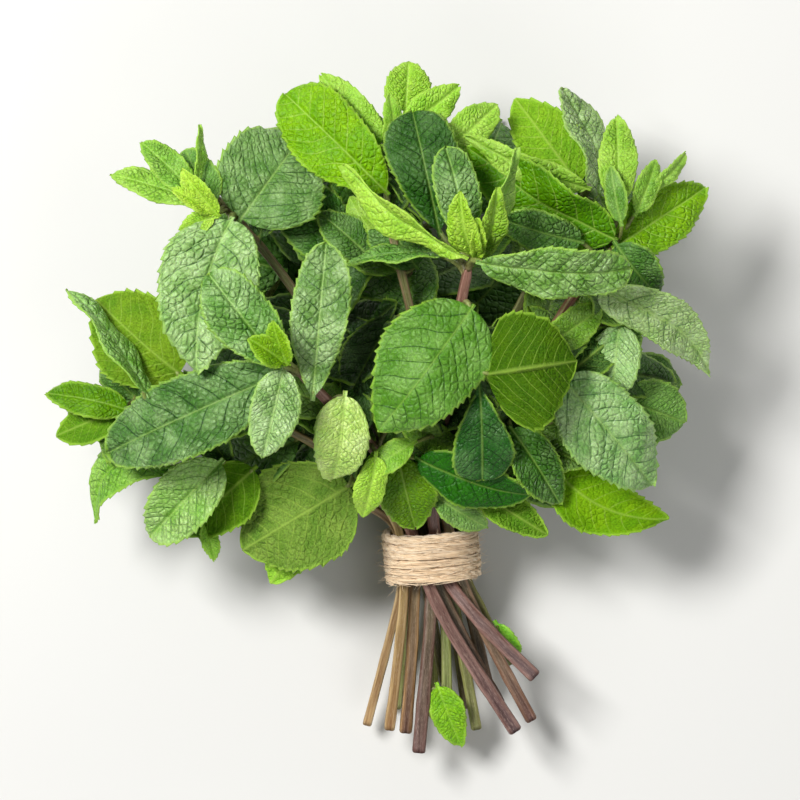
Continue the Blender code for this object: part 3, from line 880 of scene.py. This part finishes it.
FRAME_LEAVES = (
    Leaf("leaf_under_1", (-6, -20, 0.45), (8, 28, 0.45), 28, "#3f6c24", arch=0, fold=0),
    Leaf("leaf_under_2", (-22, 32, 0.45), (-54, 62, 0.45), 26, "#3f6c24", arch=0, fold=0),
    Leaf("leaf_under_3", (26, 30, 0.45), (56, 60, 0.45), 26, "#3f6c24", arch=0, fold=0),
    Leaf("leaf_skirt_1", (-46, 2, 20), (-88, -6, 2), 28, "#4c7c30", arch=7),
    Leaf("leaf_skirt_2", (-30, 44, 20), (-62, 52, 2), 28, "#46742c", arch=7),
    Leaf("leaf_skirt_3", (-12, 62, 19), (-22, 90, 2), 26, "#558534", arch=7),
    Leaf("leaf_skirt_4", (26, 62, 19), (38, 90, 2), 26, "#46742c", arch=7),
    Leaf("leaf_skirt_5", (56, 38, 20), (82, 50, 2), 26, "#4c7c30", arch=7),
    Leaf("leaf_skirt_6", (52, 4, 20), (84, -8, 2), 28, "#558534", arch=7),
    Leaf("leaf_collar_1", (50, -13, 44), (88, -32, 36), 19, "#74a210", roll=180, arch=-3, sweep=-6,
         point=0.8, quilt=0.5, painted_sheen=0.0),
    Leaf("leaf_collar_2", (-38, -17, 44), (-60, -37, 34), 20, "#557f14", roll=180, arch=-2, quilt=0.5,
         painted_sheen=0.0),
    Leaf("leaf_left_1", (-77, 1, 49), (-98, -7, 42), 14, "#5f8c20", roll=190, arch=-2, quilt=0.5,
         painted_sheen=0.0),
    Leaf("leaf_right_1", (74, 4, 50), (93, -3, 44), 20, "#68984a"),
    Leaf("leaf_back_1", (8, 91, 54), (9, 106, 52), 14, "#96c044", arch=2, fold=0.2, pale=1.0),
    Leaf("leaf_back_2", (60, 69, 54), (41, 95, 49), 20, "#7aa82c", roll=180, arch=-3, pale=1.0,
         quilt=0.6, painted_sheen=0.0),
    Leaf("leaf_back_3", (66, 64, 52), (55, 98, 50), 16, "#86a478", roll=48, sweep=3, painted_sheen=0.4,
         point=0.45),
    Leaf("leaf_collar_3", (6, -14, 50), (11, -35, 39), 18, "#5e8812", roll=5, arch=3, pale=0.4,
         quilt=0.7, painted_sheen=0.0),
    Leaf("leaf_collar_4", (-9, -22, 46), (-42, -42, 36), 34, "#70903c", roll=180, arch=-5, fold=0.15,
         quilt=0.95, pale=0.3),
    Leaf("leaf_left_2", (-64, -16, 50), (-88, -34, 36), 16, "#7fb04c", roll=25, arch=4, sweep=9,
         point=0.8),
    Leaf("leaf_left_3", (-48, -15, 50), (-70, -38, 38), 19, "#8cb868", arch=3, fold=0.5, painted_sheen=0.3),
    Leaf("leaf_left_4", (-60, 12, 57), (-85, 34, 50), 30, "#6c8f26", roll=172, arch=-4, quilt=0.5,
         painted_sheen=0.0),
    Leaf("leaf_left_5", (-69, 6, 58), (-94, 37, 50), 16, "#6fa04a", roll=66, arch=2, painted_sheen=0.3,
         point=0.8),
    Leaf("leaf_collar_5", (12, -14, 54), (46, -25, 46), 17, "#226204", roll=28, arch=4, quilt=0.6,
         painted_sheen=0.0),
    Leaf("leaf_right_2", (72, 26, 63), (70, 4, 58), 16, "#84ac80", roll=8, painted_sheen=0.3, quilt=0.7),
    Leaf("leaf_right_3", (55, 10, 68), (82.5, -22, 50), 26, "#78a470", roll=-5, arch=4, painted_sheen=0.4,
         quilt=0.8),
    Leaf("leaf_right_4", (71, 50, 65), (98, 68, 52), 19, "#709e0c", roll=10, arch=2, fold=0.15, pale=1.0,
         point=0.75, quilt=0.8, painted_sheen=0.0),
    Leaf("leaf_back_4", (-41, 58, 68), (-23, 83, 57), 34, "#5a8248", arch=4, fold=0.12, painted_sheen=0.2,
         quilt=0.8),
    Leaf("leaf_back_5", (2, 66, 72), (-28, 95.5, 62), 23, "#74a40a", arch=4, heel=0.65, point=0.45,
         pale=0.9, quilt=0.9, painted_sheen=0.0),
    Leaf("leaf_back_6", (18, 54, 73), (10, 90, 67), 22, "#2c5a1c", arch=3, heel=0.85, point=0.45,
         painted_sheen=0.05),
    Leaf("leaf_back_7", (70, 52, 68), (25, 79, 71), 22, "#548806", roll=-35, arch=4, pale=0.9, quilt=0.7,
         painted_sheen=0.0),
    Leaf("leaf_right_5", (66, 36, 71), (100, 12, 47), 16, "#a4c094", roll=15, arch=5, sweep=-6,
         painted_sheen=0.6, point=0.85, heel=0.5),
    Leaf("leaf_collar_6", (30, 8, 65), (31, -20, 55), 19, "#1e5a16", roll=-5, quilt=0.7, heel=0.95,
         point=0.35, painted_sheen=0.08),
    Leaf("leaf_collar_7", (-10, 5, 66), (-14, -20, 55), 17, "#bcd48c", roll=-10, arch=4, pale=0.3,
         quilt=0.6, painted_sheen=0.35),
    Leaf("leaf_right_6", (32, 11.5, 70), (59, 15.5, 71), 36, "#44680a", roll=180, arch=-7, fold=0.2,
         quilt=0.55, painted_sheen=0.0, pale=0.1),
    Leaf("leaf_left_6", (-30, 11, 73), (-82, -12, 54), 25, "#4a783a", roll=5, arch=6, point=0.5,
         painted_sheen=0.2, quilt=1.15),
    Leaf("leaf_left_7", (-44, 57, 71), (-54, 12, 71), 30, "#84aa74", arch=5, sweep=3, point=0.8,
         painted_sheen=0.45, quilt=1.1),
    Leaf("leaf_crown_1", (-19.5, 5, 75), (-15.5, 50, 81), 17.5, "#688e54", arch=2, fold=0.15, heel=0.75,
         point=0.5, painted_sheen=0.4, quilt=1.1),
    Leaf("leaf_crown_2", (27.5, 31, 77), (-0.5, -6, 74), 32, "#588a28", roll=-6, arch=4, fold=-0.1,
         quilt=0.7, heel=0.42, point=0.72),
    Leaf("leaf_crown_3", (26, 48, 82), (20, 79, 78), 14, "#578440", roll=12, fold=0.15, heel=0.7,
         point=0.5, painted_sheen=0.25, quilt=1.1),
    Leaf("leaf_crown_4", (-28, 12.5, 82), (-34, -13, 78), 15, "#84a878", arch=2, fold=0.25, point=0.7,
         painted_sheen=0.5),
    Leaf("leaf_crown_5", (-29, 14.5, 82), (-50, 41, 80), 19, "#5f9040", fold=0.2, heel=0.6, point=0.52,
         painted_sheen=0.35, quilt=1.2),
    Leaf("leaf_crown_6", (25, 46, 82), (-11, 73, 81), 14, "#a6cc54", roll=-58, fold=0.4, heel=0.8,
         pale=0.6, quilt=0.8),
    Leaf("leaf_crown_7", (30, 44, 82), (74, 43, 78), 18, "#6a963f", roll=34, arch=5, heel=0.6, point=0.5,
         painted_sheen=0.3, quilt=1.2),
)


CAD_OUTLINE = (0.5, 0.7)
CAD_STALK = 4
LONG_CAD_BLADE = 30


def frame_leaf(leaf):
    """The detailed leaf for a CAD leaf, raised as far as the CAD leaf was when it was laid."""
    length = leaf_axes(leaf)[0]
    rows = np.concatenate([[-CAD_STALK / length], (1 - np.cos(np.linspace(0, math.pi, 10))) / 2])
    share, across = np.meshgrid(rows, np.linspace(-1, 1, 5), indexing="ij")
    half = np.maximum(leaf.width / 2 * ovate(share, *CAD_OUTLINE), 0.9 - 0.2 * np.clip(share, 0, 1))
    planned = bend(leaf, share, across, half, np.zeros_like(share))[..., 2]
    low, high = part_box(leaf.name)
    rise = round(((low.z + high.z) / MM - planned.min() - planned.max()) / 2, 1)
    blank = (broad_blank, BROAD_BLANK) if length > LONG_CAD_BLADE else (small_blank, SMALL_BLANK)
    named = leaf._replace(name=leaf.name.replace("leaf_", "blade_"))
    piece = leaf_piece(named, *blank, rise)
    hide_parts(leaf.name)
    return rise


rises = {leaf.name: frame_leaf(leaf) for leaf in FRAME_LEAVES}


# ---------------------------------------------------------------------------
# The growing tips and the smaller leaves among the big ones: yellow-green pairs folded
# along the midrib, which open as they grow, and older leaves that show between them.

TIP_LEAVES = (
    Leaf("crown_bud_1", (28, 46, 84), (24, 65, 97), 10, "#98c030", roll=-25, arch=2, fold=0.4, pale=0.6),
    Leaf("crown_bud_2", (30, 46, 84), (35, 66, 96), 9, "#84ac28", roll=30, arch=2, fold=0.4, pale=0.6),
    Leaf("crown_bud_3", (29, 46, 86), (29, 57, 96), 5, "#a4c838", roll=10, arch=1, fold=0.7, pale=0.6),
    Leaf("crown_side_1", (29, 47, 84), (40, 78, 92), 9, "#8ab45c", roll=55, arch=2, fold=0.3),
    Leaf("left_bud_1", (-54, 63, 75), (-80, 71, 69), 10, "#8fbb52", roll=20, arch=2, fold=0.2),
    Leaf("left_bud_2", (-55, 66, 75), (-71, 81, 70), 10, "#7fae4c", roll=10, arch=2, fold=0.2),
    Leaf("left_bud_3", (-54, 69, 76), (-53, 86, 72), 6, "#86b44a", roll=58, arch=1),
    Leaf("left_bud_4", (-48, 59, 79), (-58, 72, 84), 8, "#a8cf3e", roll=-20, arch=1, fold=0.4),
    Leaf("left_bud_5", (-50, 60, 79), (-61, 66, 85), 7, "#b2d64c", roll=25, arch=1, fold=0.4),
    Leaf("left_bud_6", (-50, 62, 72), (-58, 79, 67), 13, "#5f8c42", arch=2),
    Leaf("left_bud_7", (-49, 58, 79), (-59, 54, 78), 7, "#a9cf55", roll=10, arch=1, fold=0.2),
    Leaf("middle_bud_1", (-28, 15, 91.5), (-38, 22, 97), 9, "#7ba41e", roll=15, arch=1, fold=0.4,
         painted_sheen=0.0),
    Leaf("middle_bud_2", (-27, 15, 91.5), (-31, 27, 98), 8, "#8ab32c", roll=-25, arch=1, fold=0.4,
         painted_sheen=0.0),
    Leaf("outer_left_1", (-76, 1, 52), (-101, 6, 46), 11, "#5e8c06", roll=15, arch=2, quilt=0.7,
         painted_sheen=0.0),
    Leaf("outer_left_2", (-53, -33, 42), (-50, -45, 38), 6, "#86b83c", roll=-15, arch=1),
    Leaf("outer_left_3", (-19, -30, 36), (-33, -52, 31), 15, "#8cc03c", roll=180, arch=-2),
    Leaf("outer_back_1", (0, 80, 67), (-17, 101, 62), 13, "#93be4a", roll=-8, arch=2, pale=0.7,
         quilt=0.7),
    Leaf("outer_back_2", (8, 86, 65), (24, 98, 61), 11, "#9aca48", roll=12, arch=2, pale=0.8, quilt=0.6),
    Leaf("outer_back_3", (4, 79, 68), (3, 95, 67), 8, "#88b83c", roll=35, arch=1, pale=0.7, quilt=0.6),
    Leaf("outer_back_4", (20, 78, 66), (36, 93, 60), 12, "#96c24a", roll=5, arch=2, pale=0.7, quilt=0.6),
    Leaf("outer_back_5", (62, 67, 70), (25, 82, 76), 9, "#8fb84a", roll=-30, arch=3, pale=0.6, quilt=0.7),
    Leaf("outer_right_1", (71, 63, 70), (71, 89, 64), 12, "#90b848", roll=8, arch=3, pale=0.8, quilt=0.7),
    Leaf("outer_right_2", (72, 57, 72), (69, 74, 71), 7, "#5d8a34", roll=-12, arch=1, pale=0.2,
         quilt=0.7),
    Leaf("outer_right_3", (77, 60, 68), (83, 76, 64), 8, "#7fa845", roll=15, arch=2),
    Leaf("outer_right_4", (82, 67, 66), (92, 78, 61), 5, "#86ae50", roll=30, arch=2),
    Leaf("outer_right_5", (71, 50, 68), (84, 35, 58), 15, "#4f7a3c", roll=12, arch=3),
)
BETWEEN_LEAVES = (
    Leaf("between_1", (60, 51, 70), (35, 58, 72), 14, "#4f7a3c", roll=-15, arch=2),
    Leaf("between_2", (40, 56, 64), (49, 72, 58), 14, "#5c8a20", roll=180, arch=-2, quilt=0.6),
    Leaf("between_3", (-10, 50, 58), (-31, 67, 58), 21, "#3e6c28", arch=3),
    Leaf("between_4", (-2, 46, 64), (-18, 60, 63), 13, "#456f2c", roll=10, arch=2),
    Leaf("between_5", (0, 52, 64), (-9, 65, 63), 9, "#86ab3e", roll=-20, arch=2, pale=0.5, quilt=0.6),
    Leaf("between_6", (11, 44, 66), (-1, 63, 64), 17, "#4a7836", roll=-10, arch=2),
    Leaf("between_7", (20, 47, 74), (-10, 44, 70), 10, "#5f8f44", roll=58, arch=3),
    # between_8 and between_9, deep under the crown, are a near-black green: painted shade in the gap
    # there.
    Leaf("between_8", (4, 28, 62), (-10, 3, 56), 17, "#1e4012", roll=10, arch=3),
    Leaf("between_9", (-12, 28, 52), (4, 4, 48), 17, "#1c3c10", roll=-15, arch=3),
    Leaf("between_10", (7, -2, 56), (25, -12, 50), 11, "#6f9a30", roll=15, arch=2, quilt=0.6),
    Leaf("between_11", (36, -2, 50), (12, -14, 46), 13, "#4c7a24", roll=8, arch=3),
    Leaf("between_12", (50, 20, 70), (67, 32, 66), 12, "#6c962c", roll=10, arch=2, pale=0.3, quilt=0.6),
    Leaf("between_13", (57, 12, 64), (73, 25, 60), 13, "#3c6426", roll=180, arch=-2),
    Leaf("between_14", (62, 6, 60), (77, 28, 56), 16, "#5a8840", roll=14, arch=3),
    Leaf("between_15", (-1, -13, 64), (-5, -32, 54), 10, "#a4d048", roll=-12, arch=2, pale=0.5,
         quilt=0.5),
    Leaf("between_16", (10, -9, 62), (-5, -19, 60), 9, "#7fae36", roll=12, arch=2, quilt=0.5),
    Leaf("between_17", (30, -24, 46), (51, -37, 40), 11, "#648e28", roll=180, arch=-2, painted_sheen=0.0),
    Leaf("between_18", (17, -25, 46), (33, -35, 41), 10, "#6c9458", roll=10, arch=2),
    Leaf("between_19", (40, -5, 58), (55, -28, 51), 15, "#3c6a20", roll=-8, arch=3),
    Leaf("between_20", (18, -84.5, 21), (25.5, -103.5, 16), 11, "#86b830", roll=6, arch=2, quilt=0.6,
         painted_sheen=0.0, point=0.85),
    Leaf("between_21", (36, -65, 27), (43.5, -73.5, 24), 5.5, "#78b838", roll=20, arch=1, quilt=0.6),
)
LONG_BLADE = 28.0
YOUNG_BLADE = 20
YOUNG_QUILT = 0.6

# A young blade is still smooth, and its relief deepens as it grows.
small_leaves = [
    leaf if leaf_axes(leaf)[0] > YOUNG_BLADE else leaf._replace(quilt=leaf.quilt * YOUNG_QUILT)
    for leaf in TIP_LEAVES + BETWEEN_LEAVES
]
for leaf in small_leaves:
    long = leaf_axes(leaf)[0] > LONG_BLADE
    leaf_piece(leaf, *((broad_blank, BROAD_BLANK) if long else (small_blank, SMALL_BLANK)))


# ---------------------------------------------------------------------------
# The leaves underneath: a pair at each joint of a stem, every pair turned about a quarter
# from the last. They fill the bunch, and stay below and inside the leaves that show on top.

MAP_STEP = 3.0
BEARINGS = 48
BUNCH_MIDDLE = 28.0
JOINT_STEP = 17.0
COVER_DEPTH = 3
OPEN_HEIGHT = 58
RIM_DEPTH = 4
LOWEST_Y = -34
# The leaves underneath get their own greens, darkened further as painted shade, so that the gaps between
# the leaves on top look deep.
INNER_SHADED_COLOURS = ("#2e541a", "#396321", "#457026", "#4e7830", "#597f29", "#345924")


def canopy_map():
    """The greatest height of the leaves so far over each square of the tabletop."""
    heights = {}
    for piece in bpy.data.objects:
        if piece.get("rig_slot") != "mint_leaf":
            continue
        for x, y, z in values_of(piece.data.vertices, "co", 3).reshape(-1, 3) / MM:
            square = (round(x / MAP_STEP), round(y / MAP_STEP))
            heights[square] = max(z, heights.get(square, 0.0))
    return heights


def bearing_of(east, north):
    """Which of the directions round the middle of the bunch a place lies in."""
    return int((math.atan2(north, east) / math.tau % 1.0) * BEARINGS)


def outline_reach(heights):
    """How far the leaves reach from the middle of the bunch, in each direction."""
    reach = np.zeros(BEARINGS)
    for x, y in heights:
        east, north = x * MAP_STEP, y * MAP_STEP - BUNCH_MIDDLE
        if y * MAP_STEP > TIE_CENTRE[1]:
            bearing = bearing_of(east, north)
            reach[bearing] = max(reach[bearing], math.hypot(east, north))
    return reach


def fits_inside(leaf, heights, reach):
    """Whether the leaf stays under the canopy, or deep in a gap of it, and within its outline."""
    share, across = np.meshgrid(np.linspace(0, 1, 9), np.linspace(-1, 1, 5), indexing="ij")
    half = leaf.width / 2 * ovate(share, leaf.heel, leaf.point)
    clashes = 0
    for x, y, z in bend(leaf, share, across, half, np.zeros_like(share)).reshape(-1, 3):
        north = y - BUNCH_MIDDLE
        if math.hypot(x, north) > reach[bearing_of(x, north)] - RIM_DEPTH or y < LOWEST_Y:
            return False
        top = heights.get((round(x / MAP_STEP), round(y / MAP_STEP)))
        clashes += z > (top - COVER_DEPTH if top else OPEN_HEIGHT)
    return clashes <= 3


def inner_leaf(name, joint, growth, outward, age, dice):
    """A leaf that springs from a joint, leans along the stem's growth and faces its tip."""
    along = outward + growth * dice.uniform(0.35, 0.75) + np.array((0, 0, dice.uniform(-0.35, 0.1)))
    along /= np.linalg.norm(along)
    length = (19 + 15 * min(1.0, age / 55)) * dice.uniform(0.9, 1.15)
    base = joint + LAYOUT_ORIGIN + along * 2.0
    facing = growth * 0.5 + np.array((0, 0, 0.8)) + outward * 0.1
    face = np.array((0, 0, 1.0)) - along * along[2]
    face /= np.linalg.norm(face)
    roll = math.degrees(math.atan2(facing @ np.cross(along, face), facing @ face))
    return Leaf(
        name, tuple(base), tuple(base + along * length), length * dice.uniform(0.5, 0.6), roll=roll,
        arch=length * 0.12, sweep=dice.uniform(-2, 2), fold=dice.uniform(0.05, 0.25),
        colour=INNER_SHADED_COLOURS[dice.integers(len(INNER_SHADED_COLOURS))], quilt=dice.uniform(0.7, 1.1),
    )


def stem_joints(route):
    """The joints of a stem above the tie: place, growth, quarter turn and distance from the tip."""
    along, side, up = route_frames(route[:, :3])
    for number, back in enumerate(np.arange(4.0, 150.0, JOINT_STEP)):
        at = len(route) - 1 - int(back / STEM_STEP)
        if at < 4 or (route[at, :3] - TIE_CENTRE) @ TIE_AXIS < 22:
            return
        turn = math.radians(35 + 90 * (number % 2) + 23 * number)
        outward = side[at] * math.cos(turn) + up[at] * math.sin(turn)
        yield route[at, :3], along[at], outward, back


heights = canopy_map()
reach = outline_reach(heights)
dice = np.random.default_rng(5)
inner_leaves = []
for node, route in stem_routes.items():
    for joint, growth, outward, back in stem_joints(route):
        for hand in (1, -1):
            name = f"inner_{len(inner_leaves) + 1:03d}"
            leaf = inner_leaf(name, joint, growth, outward * hand, back, dice)
            for drop in (0, 5, 10, 15, 22):
                lowered = leaf._replace(tip=tuple(np.array(leaf.tip) - (0, 0, drop)))
                if fits_inside(lowered, heights, reach):
                    inner_leaves.append(lowered)
                    break
for leaf in inner_leaves:
    leaf_piece(leaf, inner_blank, INNER_BLANK)


# ---------------------------------------------------------------------------
# The leaf stalks: thin round shoots of the same green or brown skin as the stems. Each grows
# out of the nearest stem and runs into its leaf's midrib, and none touches the tabletop.

STALK_SIDES = 8
STALK_RINGS = 9
STALK_LOWEST = 1.2
TIE_CLEARANCE = 12


def stalk(leaf, rise, ways, tangents):
    """The shell of a stalk from the nearest stem to the leaf's base."""
    length, along, _, face = leaf_axes(leaf)
    end = np.array(leaf.base) - LAYOUT_ORIGIN + (0, 0, rise)
    far = np.linalg.norm(ways - end, axis=1)
    at = int(np.argmin(far + 0.3 * np.maximum(0, (ways - end) @ along)))
    at = max(0, at - int(far[at] * 0.5 / STEM_STEP))
    span = np.linalg.norm(ways[at] - end)
    t = np.linspace(0, 1, STALK_RINGS)[:, None]
    first = ways[at] + tangents[at] * span * 0.4
    second = end - along * min(span * 0.3, 3.0) - face * span * 0.2
    path = (1 - t) ** 3 * ways[at] + 3 * (1 - t) ** 2 * t * first
    path = path + 3 * (1 - t) * t**2 * second + t**3 * (end + along * 1.6 - face * 0.45)
    path[:, 2] = np.maximum(path[:, 2], STALK_LOWEST)
    thick = (0.38 + 0.014 * length + min(0.3, span * 0.012)) * (1 - 0.5 * t**2)
    return sweep(path, round_section(STALK_SIDES, thick))


stalk_leaves = [(leaf, rises[leaf.name]) for leaf in FRAME_LEAVES]
stalk_leaves += [(leaf, 0.0) for leaf in small_leaves + inner_leaves]
ways = np.concatenate([route[:, :3] for route in stem_routes.values()])
tangents = np.concatenate([route_frames(route[:, :3])[0] for route in stem_routes.values()])
above_tie = (ways - TIE_CENTRE) @ TIE_AXIS > TIE_CLEARANCE
shells = []
for leaf, rise in stalk_leaves:
    below = leaf.base[1] < TIE_CENTRE[1]
    usable = ~above_tie if below else above_tie
    direction = -tangents[usable] if below else tangents[usable]
    shells.append(stalk(leaf, rise, ways[usable], direction))
stalks = closed_piece("leaf_stalks", shells, "mint_stem", herb_stem)
stalk_low, stalk_high = np.array(linear("#6a5038")), np.array(linear("#86a63e"))
share = np.repeat(np.linspace(0, 1, STALK_RINGS), STALK_SIDES)
share = np.concatenate([share, [0, 1]])[:, None] ** 0.6
skin = np.tile(stalk_low * (1 - share) + stalk_high * share, (len(shells), 1))
write_attribute(stalks.data, "skin_colour", "FLOAT_COLOR", skin)
stalk_places = np.concatenate([shell[0] for shell in shells])
write_attribute(stalks.data, "grain_place", "FLOAT_VECTOR", stalk_places * 0.8)


# The blanks are done with, and only finished pieces stay.
for blank in (broad_blank, small_blank, inner_blank):
    bpy.data.objects.remove(blank)
